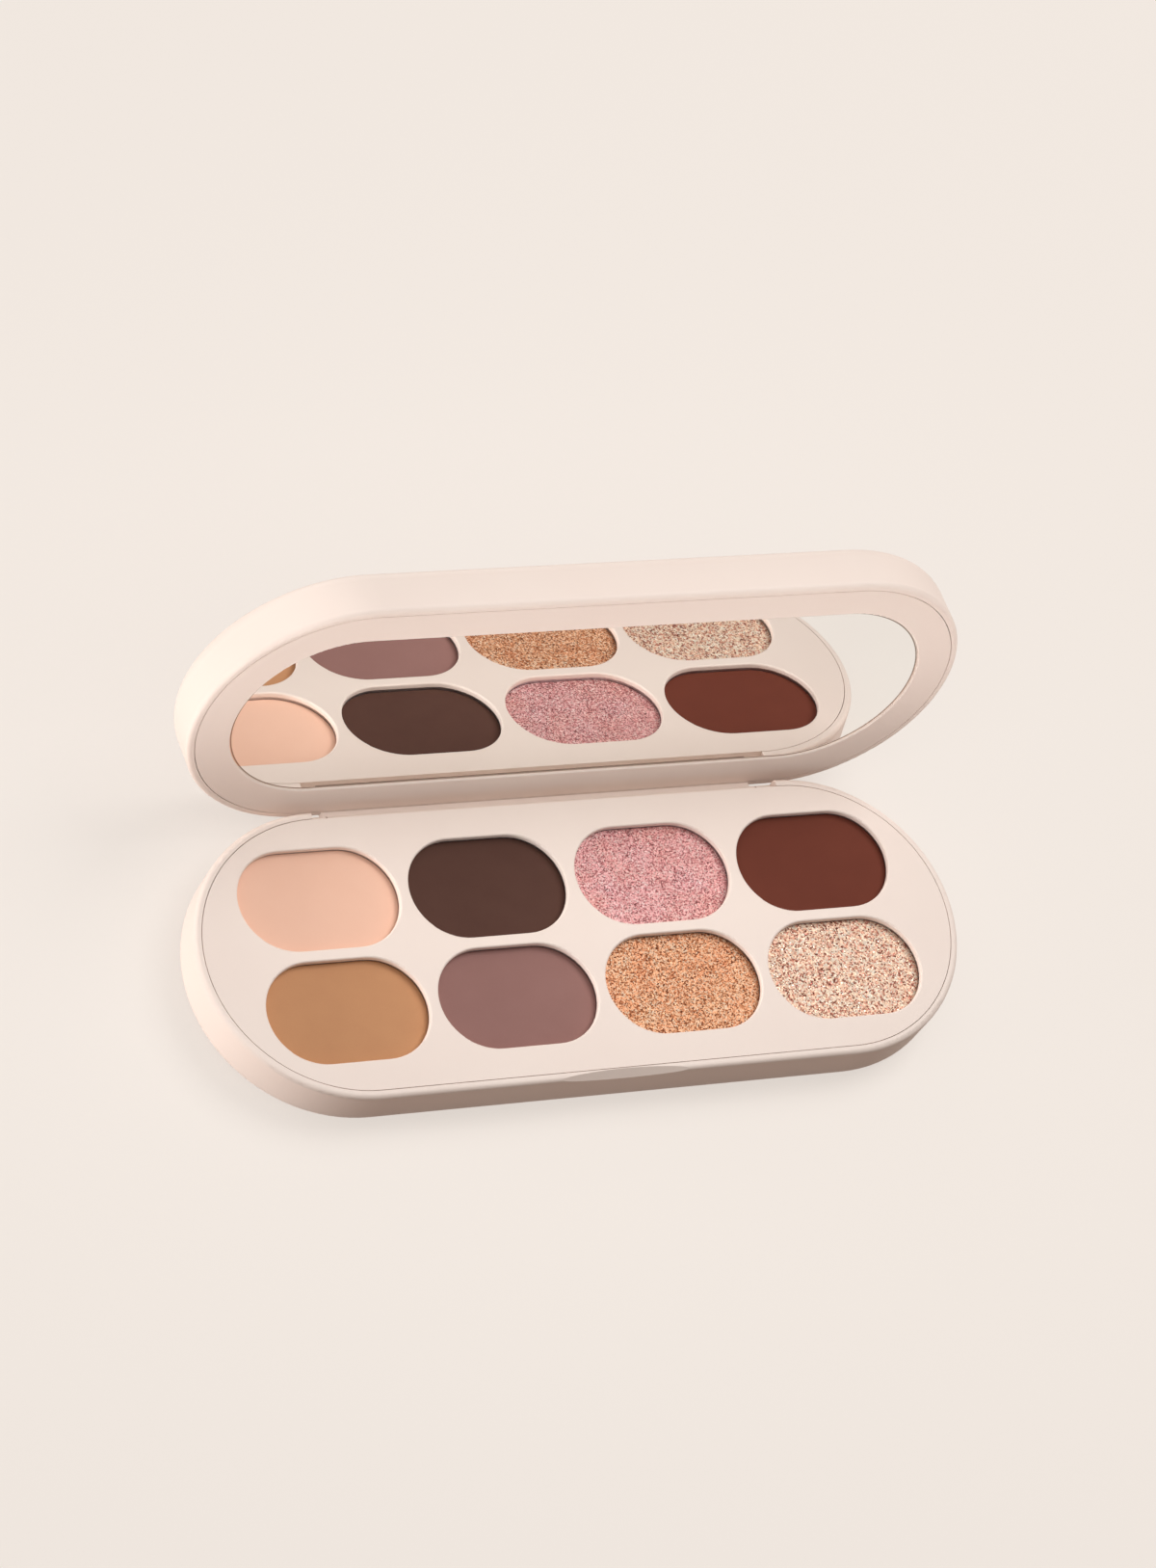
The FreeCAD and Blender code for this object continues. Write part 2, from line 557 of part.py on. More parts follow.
def make_lid_shell():
    body = new_body("lid_shell")
    middle = "-layout.hinge_reach"
    make_case_half(body, "layout.lid_plane", "sizes.lid_height", "sizes.rim_edge", "sizes.lid_edge", middle)

    recess = stadium_sketch(body, "recess", "layout.lid_plane", "layout.half_span",
                            "layout.recess_radius", middle)
    pocket(body, recess, "sizes.frame_depth", rising=True)
    cavity = stadium_sketch(body, "cavity", "layout.lid_plane", "layout.half_span",
                            "layout.cavity_radius", middle)
    pocket(body, cavity, "sizes.lid_height - sizes.skin_depth", rising=True)

    seat = new_sketch(body, "mirror_seat", level="layout.tape_back")
    add_stadium(seat, "outside", "0", middle, "layout.half_span", "layout.mirror_radius")
    add_stadium(seat, "inside", "0", middle, "layout.half_span", "(layout.mirror_radius - sizes.seat_wall)")
    pad(body, seat, "layout.skin_inside - layout.tape_back")

    bosses = new_sketch(body, "bosses", level="layout.frame_back")
    for tag, x, y in frame_peg_places():
        add_circle(bosses, tag, x, y, "layout.peg_boss")
        add_circle(bosses, tag + "_hole", x, y, "layout.peg_hole")
    for side in (-1, 1):
        add_circle(bosses, "magnet_%d" % (side + 2), "%d * layout.column_pitch" % side,
                   "-layout.magnet_row - layout.hinge_reach", "layout.magnet_boss")
    pad(body, bosses, "layout.skin_inside - layout.frame_back")
    magnet_holes = new_sketch(body, "magnet_holes", level="layout.frame_back")
    for side in (-1, 1):
        add_circle(magnet_holes, "magnet_%d" % (side + 2), "%d * layout.column_pitch" % side,
                   "-layout.magnet_row - layout.hinge_reach", "layout.magnet_hole")
    pocket(body, magnet_holes, "sizes.magnet_height + 2 * sizes.seat_gap", rising=True)

    pad(body, tongue_profile(body), "layout.tongue_length", both=True)
    bore = new_sketch(body, "tongue_bore", plane="YZ_Plane")
    add_circle(bore, "pin", "0", "0", "sizes.pin_radius + sizes.pin_gap")
    pocket(body, bore, "2 * layout.tongue_length", both=True)
    hang_on_hinge(body)


def make_mirror_frame():
    body = new_body("mirror_frame")
    middle = "-layout.hinge_reach"
    plate = stadium_sketch(body, "plate", "layout.lid_plane", "layout.half_span",
                           "layout.plate_radius", middle)
    pad(body, plate, "sizes.frame_depth")
    window = stadium_sketch(body, "window", "layout.lid_plane", "layout.half_span",
                            "layout.mirror_radius", middle)
    pocket(body, window, "2 * sizes.frame_depth", rising=True)
    face = lies_at("layout.lid_plane")
    front = value("-layout.hinge_reach - layout.mirror_radius - sizes.mirror_border / 2")
    rear = value("-layout.hinge_reach + layout.mirror_radius + sizes.mirror_border / 2")

    def window_edge(edge):
        box = edge.BoundBox
        return face(edge) and box.YMin > front and box.YMax < rear

    round_edges(body, "window_edge", "sizes.mirror_drop / 2", window_edge)
    rebate = stadium_sketch(body, "rebate", "layout.glass_front", "layout.half_span",
                            "layout.glass_radius + sizes.seat_gap", middle)
    pocket(body, rebate, "2 * sizes.frame_depth", rising=True)
    pegs = new_sketch(body, "pegs", level="layout.frame_back")
    for tag, x, y in frame_peg_places():
        add_circle(pegs, tag, x, y, "sizes.peg_radius")
    pad(body, pegs, "sizes.peg_length")
    hang_on_hinge(body)


def make_mirror_layer(label, level, depth, radius):
    """The mirror glass and the foam tape behind it: one stadium sheet each."""
    body = new_body(label)
    sheet = stadium_sketch(body, "sheet", level, "layout.half_span", radius, "-layout.hinge_reach")
    pad(body, sheet, depth)
    hang_on_hinge(body)


make_base_shell()
make_pan_tray()
for x, y, shade in grid():
    make_pan(x, y, shade)
    make_powder(x, y, shade)
make_pan_adhesive()
make_magnets("base_magnets", "-layout.magnet_row", "layout.pan_top - sizes.magnet_height")
make_hinge_pin("hinge_pin_left", -1)
make_hinge_pin("hinge_pin_right", 1)
make_lid_shell()
make_mirror_frame()
make_mirror_layer("mirror_glass", "layout.glass_front", "sizes.mirror_depth", "layout.glass_radius")
make_mirror_layer("mirror_tape", "layout.glass_back", "sizes.tape_depth", "layout.mirror_radius")
hang_on_hinge(make_magnets("lid_magnets", "-layout.magnet_row - layout.hinge_reach",
                           "layout.frame_back + sizes.seat_gap"))
doc.recompute()

for item in doc.Objects:
    if "Invalid" in item.State or "Error" in item.State:
        raise RuntimeError(item.Name + " did not recompute")
os.makedirs("parts", exist_ok=True)
for node in nodes:
    if node.Shape.isNull() or not node.Shape.isValid():
        raise RuntimeError(node.Label + " has no valid shape")
    node.Shape.exportStep("parts/%s.step" % node.Label)
    print(node.Label, "solids", len(node.Shape.Solids), "volume", round(node.Shape.Volume, 1))
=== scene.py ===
# %% [markdown]
# # An eyeshadow palette, dressed for the camera
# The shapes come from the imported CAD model, which is loaded as a fixed frame in metres. This lesson
# gives every surface its finish, scatters the glitter, and sets the floor, light and camera. Sizes
# and places are read from the frame where the frame has them.

# %% Load the frame
import math
import random

import bmesh
import bpy
from mathutils import Euler, Matrix, Quaternion, Vector


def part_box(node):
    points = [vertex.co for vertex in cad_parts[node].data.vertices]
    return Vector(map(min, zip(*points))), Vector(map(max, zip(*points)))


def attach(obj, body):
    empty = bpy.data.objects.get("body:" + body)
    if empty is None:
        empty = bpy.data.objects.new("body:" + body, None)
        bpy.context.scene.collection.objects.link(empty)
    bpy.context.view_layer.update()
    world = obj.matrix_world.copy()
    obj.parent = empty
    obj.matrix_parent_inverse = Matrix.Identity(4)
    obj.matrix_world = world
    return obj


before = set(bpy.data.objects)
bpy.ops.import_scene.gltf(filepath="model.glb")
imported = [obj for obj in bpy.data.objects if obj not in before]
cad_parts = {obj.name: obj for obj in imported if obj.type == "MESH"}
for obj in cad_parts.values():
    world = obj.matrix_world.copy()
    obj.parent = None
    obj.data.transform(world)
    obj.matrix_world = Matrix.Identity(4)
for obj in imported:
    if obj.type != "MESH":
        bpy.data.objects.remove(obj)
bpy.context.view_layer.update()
scene = bpy.context.scene
scene.view_settings.view_transform = "Standard"
MM = 0.001

# %% [markdown]
# ## The camera
# The photograph looks down on the open case from its front left corner, with a long lens and the
# camera turned on its axis. A camera could be placed by its own coordinates, but it is easier to
# correct when it is given by the point that it looks at, its direction seen from there, its
# distance and its roll.

# %% Place the camera
LOOK_AT = Vector((6.1, 27.3, 9.0)) * MM
AZIMUTH = math.radians(-47.1)
ELEVATION = math.radians(53.9)
ROLL = math.radians(37.0)
DISTANCE = 944.7 * MM
LENS = 130.7
SENSOR = 36.0
NEAREST = 0.01
FARTHEST = 20.0

camera_data = bpy.data.cameras.new("camera")
camera_data.sensor_fit = "VERTICAL"
camera_data.sensor_height = SENSOR
camera_data.lens = LENS
camera_data.clip_start = NEAREST
camera_data.clip_end = FARTHEST
camera = bpy.data.objects.new("camera", camera_data)
scene.collection.objects.link(camera)
outward = Vector((math.sin(AZIMUTH) * math.cos(ELEVATION),
                  -math.cos(AZIMUTH) * math.cos(ELEVATION),
                  math.sin(ELEVATION)))
camera.location = LOOK_AT + outward * DISTANCE
camera.rotation_mode = "QUATERNION"
camera.rotation_quaternion = outward.to_track_quat("Z", "Y") @ Quaternion((0, 0, 1), ROLL)
scene.camera = camera
print("camera at", [round(v, 3) for v in camera.location])


# %% [markdown]
# ## A small kit for finishes
# Every finish here is a Principled shader whose colour, roughness and bump come from procedural
# textures in Object coordinates, so a grain keeps its real size on every piece. The same few nodes
# come back each time, so they get short names. Colours are written as they look on a screen, and
# one function turns them into the linear values that the shader works with.

# %% Colours and nodes
def srgb(red, green, blue):
    """A colour as it is seen on a screen, 0 to 255, turned into scene-linear values."""
    linear = []
    for channel in (red, green, blue):
        share = channel / 255
        linear.append(share / 12.92 if share <= 0.04045 else ((share + 0.055) / 1.055) ** 2.4)
    return (*linear, 1.0)


def new_finish(name):
    """A material with only a Principled shader and its output; gives also its tree and shader."""
    material = bpy.data.materials.new(name)
    material.use_nodes = True
    tree = material.node_tree
    return material, tree, tree.nodes["Principled BSDF"]


def put(tree, target, name, value):
    """Sets an input, by its name or number, or links it where the value is a node's output."""
    if isinstance(value, bpy.types.NodeSocket):
        tree.links.new(value, target.inputs[name])
    else:
        target.inputs[name].default_value = value


def node(tree, kind, **sockets):
    """A new node with some inputs set; an underscore stands for a space in an input's name."""
    made = tree.nodes.new(kind)
    for name, value in sockets.items():
        put(tree, made, name.replace("_", " "), value)
    return made


def reckon(tree, kind, operation, *values):
    """A Math or Vector Math node, with its inputs in order."""
    made = tree.nodes.new(kind)
    made.operation = operation
    for number, value in enumerate(values):
        put(tree, made, number, value)
    return made


print("mid grey on a screen is", round(srgb(128, 128, 128)[0], 3), "in linear values")


# %% Textures and their ranges
NOISE_LOW = 0.3
NOISE_HIGH = 0.7


def place_of(tree):
    """The place on the piece, in metres."""
    return tree.nodes.new("ShaderNodeTexCoord").outputs["Object"]


def noise(tree, size, detail=2.0, vector=None):
    """Noise whose blotches are about the given size across, in metres."""
    made = node(tree, "ShaderNodeTexNoise", Scale=1.0 / size, Detail=detail,
                Vector=vector or place_of(tree))
    return made.outputs["Fac"]


def stretched(tree, along, across, rise):
    """Object coordinates divided by a size for each axis, for grain that runs in one direction."""
    made = node(tree, "ShaderNodeMapping", Vector=place_of(tree))
    put(tree, made, "Scale", (1.0 / along, 1.0 / across, 1.0 / rise))
    return made.outputs["Vector"]


def spread(tree, value, low, high):
    """Maps a texture's 0 to 1 onto a range."""
    made = node(tree, "ShaderNodeMapRange", Value=value, To_Min=low, To_Max=high)
    return made.outputs["Result"]


def bump(tree, height, depth, under=None):
    """A bump of the given depth, in metres, on top of another one if that is given."""
    made = node(tree, "ShaderNodeBump", Height=height, Distance=depth)
    if under is not None:
        put(tree, made, "Normal", under)
    return made.outputs["Normal"]


print("noise mostly lies between", NOISE_LOW, "and", NOISE_HIGH)


# %% Colours that vary
MIX_FIRST = 6
MIX_SECOND = 7
MIX_RESULT = 2


def ramp(tree, value, stops):
    """Colours along a 0 to 1 value; stops are pairs of position and colour."""
    made = node(tree, "ShaderNodeValToRGB", Fac=value)
    elements = made.color_ramp.elements
    while len(elements) < len(stops):
        elements.new(0.5)
    for element, (position, colour) in zip(elements, stops):
        element.position = position
        element.color = colour
    return made.outputs["Color"]


def evenly(colours):
    """Stops for a ramp, at equal distances."""
    return [(index / (len(colours) - 1), colour) for index, colour in enumerate(colours)]


def two_tone(tree, value, deep, colour):
    """A colour that a noise shades towards a deeper one."""
    return ramp(tree, value, [(NOISE_LOW, deep), (NOISE_HIGH, colour)])


def multiplied(tree, share, first, second):
    """A colour multiplied by another one, by the given share."""
    made = node(tree, "ShaderNodeMix")
    made.data_type = "RGBA"
    made.blend_type = "MULTIPLY"
    put(tree, made, "Factor", share)
    put(tree, made, MIX_FIRST, first)
    put(tree, made, MIX_SECOND, second)
    return made.outputs[MIX_RESULT]


def dress(material, *names):
    """Gives a finish to CAD nodes."""
    for name in names:
        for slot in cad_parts[name].material_slots:
            slot.material = material
    print(material.name, "on", ", ".join(names))


print("stops for three colours:", [position for position, colour in evenly("abc")])


# %% [markdown]
# ## Case plastic
# The case halves, the plate round the pans and the frame of the mirror are moulded in one matte
# cream plastic. Up close such a moulding has a very fine spark-eroded grain, and its colour is
# never perfectly even. A broad, faint noise tints the colour, a fine one gives the grain to the
# bump and the roughness, and a middle one adds the slight waviness that a flat moulding always has.

# %% Cream plastic
CREAM = srgb(241, 224, 213)
CREAM_DEEP = srgb(240, 222, 211)
TINT_SIZE = 14 * MM
WAVE_SIZE = 9 * MM
WAVE_DEPTH = 0.005 * MM
ERODED_SIZE = 0.11 * MM
ERODED_DEPTH = 0.004 * MM


def cream_plastic():
    material, tree, shader = new_finish("cream_plastic")
    put(tree, shader, "Base Color", two_tone(tree, noise(tree, TINT_SIZE), CREAM_DEEP, CREAM))
    grain = noise(tree, ERODED_SIZE, detail=3.0)
    put(tree, shader, "Roughness", spread(tree, grain, 0.44, 0.58))
    wave = bump(tree, noise(tree, WAVE_SIZE), WAVE_DEPTH)
    put(tree, shader, "Normal", bump(tree, grain, ERODED_DEPTH, under=wave))
    put(tree, shader, "Specular IOR Level", 0.4)
    return material


dress(cream_plastic(), "base_shell", "lid_shell", "pan_tray", "mirror_frame")


# %% [markdown]
# ## Mirror
# A compact's mirror is thin float glass, silvered on the back. Glass over a metal sheet would show
# it exactly, but the picture is the same with one metallic surface of almost no roughness, and it
# renders with far less noise. A faint uneven haze keeps it from looking like a hole. Beside the
# frame the glass has a ground edge, which the finish paints as a thin grey line of painted shade in
# the gap at the frame and a thin bright line of painted highlight on the chamfer. It could be a
# modelled chamfer, but it is only half a millimetre wide, so the finish paints it: the distance
# from the outline is worked out from the place on the glass, in coordinates that lean with the lid.

# %% Distance from the mirror's outline
LID_LEAN = math.radians(11.2)
METRE = 1.0


def rim_of(tree, low, high, covered, width):
    """0 on the glass of the open lid, rising to 1 over a width beside the part that is covered."""
    leaning = node(tree, "ShaderNodeMapping", Vector=place_of(tree))
    put(tree, leaning, "Rotation", (LID_LEAN, 0, 0))
    axes = node(tree, "ShaderNodeSeparateXYZ", Vector=leaning.outputs["Vector"])
    size = high - low
    middle = Matrix.Rotation(LID_LEAN, 3, "X") @ ((low + high) / 2)
    # The box holds the leaning glass, so its sides mix the breadth and thickness of the glass.
    breadth = size.z * math.cos(LID_LEAN) - size.y * math.sin(LID_LEAN)
    radius = breadth / math.cos(2 * LID_LEAN) / 2
    straight = size.x / 2 - radius
    side = reckon(tree, "ShaderNodeMath", "ABSOLUTE", axes.outputs["X"])
    # Metres past the straight part, and 0 along it.
    past = node(tree, "ShaderNodeMapRange", Value=side.outputs[0],
                From_Min=straight, From_Max=straight + METRE)
    rise = reckon(tree, "ShaderNodeMath", "SUBTRACT", axes.outputs["Z"], middle.z)
    both = node(tree, "ShaderNodeCombineXYZ", X=past.outputs["Result"], Y=rise.outputs[0])
    reach = reckon(tree, "ShaderNodeVectorMath", "LENGTH", both.outputs["Vector"])
    rim = node(tree, "ShaderNodeMapRange", Value=reach.outputs["Value"],
               From_Min=radius - covered - width, From_Max=radius - covered)
    return rim.outputs["Result"]


print("the lid leans", round(math.degrees(LID_LEAN), 1), "degrees")


# %% Silvered glass
UNDER_FRAME = 1.0 * MM
PAINTED_EDGE_WIDTH = 0.5 * MM
SILVER = srgb(250, 250, 248)
SILVER_DEEP = srgb(247, 246, 244)
CLEAR = srgb(255, 255, 255)
# Painted shade for the gap at the frame and a painted highlight for the chamfer of the ground edge.
PAINTED_GAP_SHADE = srgb(150, 132, 122)
PAINTED_GAP_SHADE_END = srgb(156, 138, 128)
PAINTED_CHAMFER_HIGHLIGHT = srgb(240, 234, 230)
HAZE_SIZE = 30 * MM
SMEAR_SIZE = 8 * MM


def silvered_glass():
    material, tree, shader = new_finish("silvered_glass")
    low, high = (Vector(corner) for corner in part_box("mirror_glass"))
    rim = rim_of(tree, low, high, UNDER_FRAME, PAINTED_EDGE_WIDTH)
    silver = two_tone(tree, noise(tree, HAZE_SIZE), SILVER_DEEP, SILVER)
    # The grey band is painted shade in the gap at the frame, and the pale band a painted highlight on
    # the chamfer.
    painted_edge = ramp(tree, rim, [(0.20, CLEAR), (0.40, PAINTED_GAP_SHADE), (0.65, PAINTED_GAP_SHADE_END),
                           (0.80, PAINTED_CHAMFER_HIGHLIGHT)])
    put(tree, shader, "Base Color", multiplied(tree, 1.0, silver, painted_edge))
    put(tree, shader, "Metallic", 1.0)
    put(tree, shader, "Roughness", spread(tree, noise(tree, SMEAR_SIZE), 0.003, 0.010))
    return material


dress(silvered_glass(), "mirror_glass")


# %% [markdown]
# ## Matte powders
# Five of the shades are matte: pigment and talc pressed into the pan under a ribbon of cloth. The
# surface is dead flat, with a grain far finer than the eye resolves and the faintest trace of the
# ribbon's lines. It hardly shines at any angle, which is what diffuse roughness is for. The grain
# is a fine noise in the colour and bump, and the ribbon is a noise stretched along the case.

# %% Pressed matte powder
TALC_SIZE = 0.09 * MM
TALC_DEPTH = 0.012 * MM
TALC_SHARE = 0.6
CLOUD_SIZE = 5 * MM
RIBBON_LINE = 0.35 * MM
RIBBON_RUN = 30 * RIBBON_LINE
RIBBON_DEPTH = 0.006 * MM


def matte_powder(name, colour, deep):
    """Pressed pigment: its colour, and the deeper one of its hollows."""
    material, tree, shader = new_finish(name)
    grain = noise(tree, TALC_SIZE, detail=4.0)
    cloud = spread(tree, noise(tree, CLOUD_SIZE), 0.0, 1 - TALC_SHARE)
    mottled = reckon(tree, "ShaderNodeMath", "MULTIPLY_ADD", grain, TALC_SHARE, cloud)
    put(tree, shader, "Base Color", two_tone(tree, mottled.outputs[0], deep, colour))
    lines = noise(tree, 1.0, vector=stretched(tree, RIBBON_RUN, RIBBON_LINE, RIBBON_LINE))
    ribbon = bump(tree, lines, RIBBON_DEPTH)
    put(tree, shader, "Normal", bump(tree, grain, TALC_DEPTH, under=ribbon))
    put(tree, shader, "Roughness", spread(tree, grain, 0.80, 0.95))
    put(tree, shader, "Diffuse Roughness", 0.25)
    put(tree, shader, "Specular IOR Level", 0.22)
    return material


dress(matte_powder("peach_powder", srgb(252, 208, 184), srgb(249, 203, 178)), "powder_peach")
dress(matte_powder("espresso_powder", srgb(94, 64, 54), srgb(87, 57, 48)), "powder_espresso")
dress(matte_powder("maroon_powder", srgb(117, 59, 44), srgb(109, 54, 40)), "powder_maroon")
dress(matte_powder("tan_powder", srgb(211, 156, 113), srgb(204, 148, 107)), "powder_tan")
dress(matte_powder("taupe_powder", srgb(163, 121, 114), srgb(156, 114, 107)), "powder_taupe")


# %% [markdown]
# ## Shimmer powders
# The other three shades hold mica and glitter. What the eye sees is thousands of tiny plates, each
# with its own tilt, so neighbouring grains are light, mid or dark for no visible reason. A Voronoi
# texture gives every grain one random colour: one channel picks its tone from a ramp, and two of
# them tilt its normal, so that the glints move when the light does. The ramp holds the grains' own
# colours along with painted light: its bright grains are painted glints and its dark grains painted
# shade. A broad noise drifts the tone from one part of the pan to another.

# %% Pearly grains
GRAIN_LEAN = 0.9


def random_cells(tree, size):
    """One random colour for each grain of about the given size."""
    made = node(tree, "ShaderNodeTexVoronoi", Scale=1.0 / size, Vector=place_of(tree))
    return made.outputs["Color"]


def tilted_plates(tree, cells, lean):
    """Normals that lean by a random amount in each grain."""
    upright = tree.nodes.new("ShaderNodeNewGeometry").outputs["Normal"]
    centred = reckon(tree, "ShaderNodeVectorMath", "SUBTRACT", cells, (0.5, 0.5, 0.5))
    leaning = reckon(tree, "ShaderNodeVectorMath", "MULTIPLY_ADD",
                     centred.outputs["Vector"], (lean, lean, 0.0), upright)
    unit = reckon(tree, "ShaderNodeVectorMath", "NORMALIZE", leaning.outputs["Vector"])
    return unit.outputs["Vector"]


def shimmer_powder(name, grain, tones, drift, patch):
    """Pressed mica: tones from dark grains to bright ones, the tint it drifts to and how wide."""
    material, tree, shader = new_finish(name)
    cells = random_cells(tree, grain)
    pick = node(tree, "ShaderNodeSeparateColor", Color=cells).outputs["Red"]
    # The ramp mixes the grains' own colours with painted glints at its bright end and painted shade
    # at its dark end.
    grain_tone_and_glints = ramp(tree, pick, evenly(tones))
    drifting = spread(tree, noise(tree, patch), -0.5, 1.5)
    put(tree, shader, "Base Color", multiplied(tree, drifting, grain_tone_and_glints, drift))
    put(tree, shader, "Normal", tilted_plates(tree, cells, GRAIN_LEAN))
    put(tree, shader, "Metallic", 0.28)
    put(tree, shader, "Roughness", spread(tree, noise(tree, grain), 0.30, 0.55))
    put(tree, shader, "Specular IOR Level", 0.2)
    return material


print("grains lean up to", round(math.degrees(math.atan(GRAIN_LEAN / 2))), "degrees to each side")


# %% Three shimmer shades
# From dark to bright: the grains' own colours, with painted shade at the dark end and painted glints
# at the bright end.
ROSE_GRAINS_AND_GLINTS = [srgb(108, 53, 56), srgb(183, 117, 120), srgb(214, 153, 155), srgb(237, 184, 185),
        srgb(251, 229, 227)]
COPPER_GRAINS_AND_GLINTS = [srgb(91, 40, 14), srgb(177, 112, 72), srgb(216, 156, 116), srgb(239, 191, 152),
          srgb(252, 233, 208)]
CHAMPAGNE_GRAINS_AND_GLINTS = [srgb(103, 51, 37), srgb(200, 143, 125), srgb(228, 204, 179), srgb(242, 232, 211),
             srgb(250, 247, 235)]

dress(shimmer_powder("rose_mica", grain=0.18 * MM, tones=ROSE_GRAINS_AND_GLINTS,
                     drift=srgb(252, 240, 230), patch=5 * MM), "powder_rose_shimmer")
dress(shimmer_powder("copper_mica", grain=0.21 * MM, tones=COPPER_GRAINS_AND_GLINTS,
                     drift=srgb(250, 226, 216), patch=5 * MM), "powder_copper_shimmer")
dress(shimmer_powder("champagne_mica", grain=0.26 * MM, tones=CHAMPAGNE_GRAINS_AND_GLINTS,
                     drift=srgb(251, 222, 210), patch=0.9 * MM), "powder_champagne_glitter")


# %% [markdown]
# ## Glitter
# On top of the mica lie real plates, stamped from metallised film: small hexagons at all angles in
# the pressed cake, many in the glitter shade and fewer in the other two. Texture alone looks
# painted on from close by, so they are modelled. Each is a short six-sided prism, placed and tilted
# by a seeded random generator, half sunk in the cake, and all of one pan are joined in one mesh. A
# number kept with every face says which colour that plate has.

# %% Scatter plates over a pan
PLATE_SIDES = 6
PLATE_DEPTH = 0.2


def inside_pan(low, high, x, y, margin):
    """Whether a point lies within the round-ended outline of a cake, less a margin."""
    radius = (high.y - low.y) / 2
    middle = (low + high) / 2
    straight = (high.x - low.x) / 2 - radius
    over = max(abs(x - middle.x) - straight, 0.0)
    return math.hypot(over, y - middle.y) < radius - margin


def scatter_plates(name, cake, count, small, large, lean, seed):
    """Many small six-sided plates on the top of a powder cake, as one piece of the base."""
    dice = random.Random(seed)
    low, high = (Vector(corner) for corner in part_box(cake))
    plates = bmesh.new()
    tone = plates.faces.layers.float.new("tone")
    made = 0
    while made < count:
        x = dice.uniform(low.x, high.x)
        y = dice.uniform(low.y, high.y)
        if not inside_pan(low, high, x, y, 2 * large):
            continue
        turn = Euler((dice.uniform(-lean, lean), dice.uniform(-lean, lean),
                      dice.uniform(0, math.pi)))
        radius = dice.uniform(small, large)
        spot = Matrix.Translation((x, y, high.z)) @ turn.to_matrix().to_4x4()
        prism = bmesh.ops.create_cone(plates, cap_ends=True, segments=PLATE_SIDES, radius1=radius,
                                      radius2=radius, depth=PLATE_DEPTH * radius, matrix=spot)
        shade = dice.random()
        for face in {face for vert in prism["verts"] for face in vert.link_faces}:
            face[tone] = shade
        made += 1
    mesh = bpy.data.meshes.new(name)
    plates.to_mesh(mesh)
    plates.free()
    piece = bpy.data.objects.new(name, mesh)
    scene.collection.objects.link(piece)
    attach(piece, "base")
    triangles = sum(len(face.vertices) - 2 for face in mesh.polygons)
    print(name, "plates:", made, "triangles:", triangles)
    return piece


print("a plate's thickness is", PLATE_DEPTH, "of its radius")


# %% Metallised film
FILM_SMEAR = 0.2 * MM
CHAMPAGNE_FILM = [srgb(176, 84, 78), srgb(236, 170, 160), srgb(252, 224, 200),
                  srgb(255, 244, 226), srgb(244, 204, 168)]
COPPER_FILM = [srgb(212, 146, 100), srgb(244, 190, 146), srgb(255, 224, 186)]
ROSE_FILM = [srgb(214, 150, 150), srgb(244, 192, 190), srgb(255, 226, 222)]


def plate_film(name, tones):
    """Metallised film, coloured plate by plate."""
    material, tree, shader = new_finish(name)
    tone = tree.nodes.new("ShaderNodeAttribute")
    tone.attribute_name = "tone"
    put(tree, shader, "Base Color", ramp(tree, tone.outputs["Fac"], evenly(tones)))
    put(tree, shader, "Metallic", 0.8)
    put(tree, shader, "Roughness", spread(tree, noise(tree, FILM_SMEAR), 0.30, 0.50))
    return material


glitter = scatter_plates("champagne_plates", "powder_champagne_glitter", count=1000,
                         small=0.06 * MM, large=0.13 * MM, lean=0.4, seed=4)
glitter.data.materials.append(plate_film("champagne_film", CHAMPAGNE_FILM))
gleam = scatter_plates("copper_plates", "powder_copper_shimmer", count=300,
                       small=0.05 * MM, large=0.09 * MM, lean=0.4, seed=7)
gleam.data.materials.append(plate_film("copper_film", COPPER_FILM))
pearl = scatter_plates("rose_plates", "powder_rose_shimmer", count=300,
                       small=0.05 * MM, large=0.09 * MM, lean=0.4, seed=9)
pearl.data.materials.append(plate_film("rose_film", ROSE_FILM))


# %% [markdown]
# ## What lies inside
# The pans, the hinge pins, the magnets, the glue and the tape hardly show, yet each is a real thing
# with a real finish, and it is seen when the part is taken apart. Aluminium sheet shows the fine
# lines of its rolling, wire the lines of its drawing, nickel plating a soft grey gloss, and glue
# and foam tape an uneven dull white.

# %% Metals
LINE_DEPTH = 0.002 * MM
ROUGH_RANGE = 0.2
NOT_PANS = ("pan_tray", "pan_adhesive")
PANS = [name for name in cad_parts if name.startswith("pan_") and name not in NOT_PANS]


def lined_metal(name, bright, deep, along, across, rough):
    """Metal with fine lines along the case; the sizes say how long and how wide a line is."""
    material, tree, shader = new_finish(name)
    lines = noise(tree, 1.0, detail=3.0, vector=stretched(tree, along, across, across))
    put(tree, shader, "Base Color", two_tone(tree, lines, deep, bright))
    put(tree, shader, "Metallic", 1.0)
    put(tree, shader, "Roughness", spread(tree, lines, rough, rough + ROUGH_RANGE))
    put(tree, shader, "Normal", bump(tree, lines, LINE_DEPTH))
    return material


dress(lined_metal("rolled_aluminium", srgb(208, 208, 210), srgb(192, 192, 195),
                  along=6 * MM, across=0.08 * MM, rough=0.3), *PANS)
dress(lined_metal("drawn_wire", srgb(196, 197, 200), srgb(176, 177, 180),
                  along=4 * MM, across=0.05 * MM, rough=0.25), "hinge_pin_left", "hinge_pin_right")
dress(lined_metal("nickel_plate", srgb(204, 202, 198), srgb(190, 188, 184),
                  along=0.3 * MM, across=0.3 * MM, rough=0.2), "base_magnets", "lid_magnets")


# %% Glue and tape
PIT_DEPTH = 0.03 * MM


